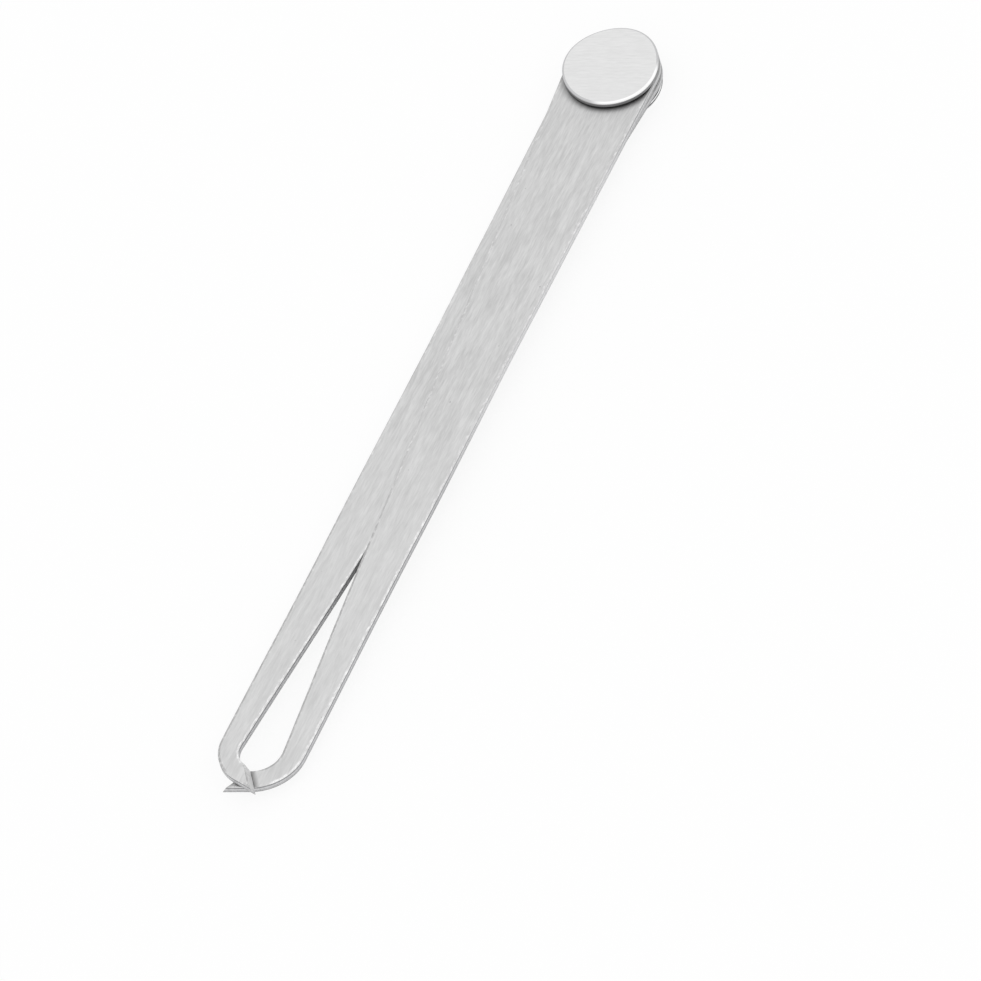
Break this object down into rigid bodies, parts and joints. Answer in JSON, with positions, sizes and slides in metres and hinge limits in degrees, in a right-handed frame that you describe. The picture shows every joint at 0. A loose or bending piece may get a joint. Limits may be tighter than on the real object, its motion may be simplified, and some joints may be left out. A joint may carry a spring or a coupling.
{
  "type": "outside caliper",
  "caption": "Riveted outside caliper with flat tapered aluminium legs, inward hooked points and a wide disc at the pivot.",
  "frame": {"origin": "on the pivot axis, in the plane of the rear disc's outer face", "axes": "+Z along the pivot axis towards the front, where the rivet's wide head is; +Y from the points towards the pivot; +X towards the front leg's hook"},
  "size_m": [0.0204, 0.2032, 0.0071],
  "materials": {
    "satin_sheet": "satin, rolled and tumbled",
    "brushed_disc": "finely brushed",
    "spring_steel": "plain rolled"
  },
  "bodies": {
    "back_leg": {"back_leg": "satin_sheet", "pivot_rivet": "brushed_disc", "rear_disc": "brushed_disc", "spring_washer": "spring_steel"},
    "front_leg": {"front_leg": "satin_sheet"}
  },
  "joints": [
    {"name": "leg_pivot", "type": "hinge", "parent": "back_leg", "child": "front_leg", "pos_m": [0, 0, 0], "axis": [0, 0, 1], "range_deg": [0, 340]}
  ]
}
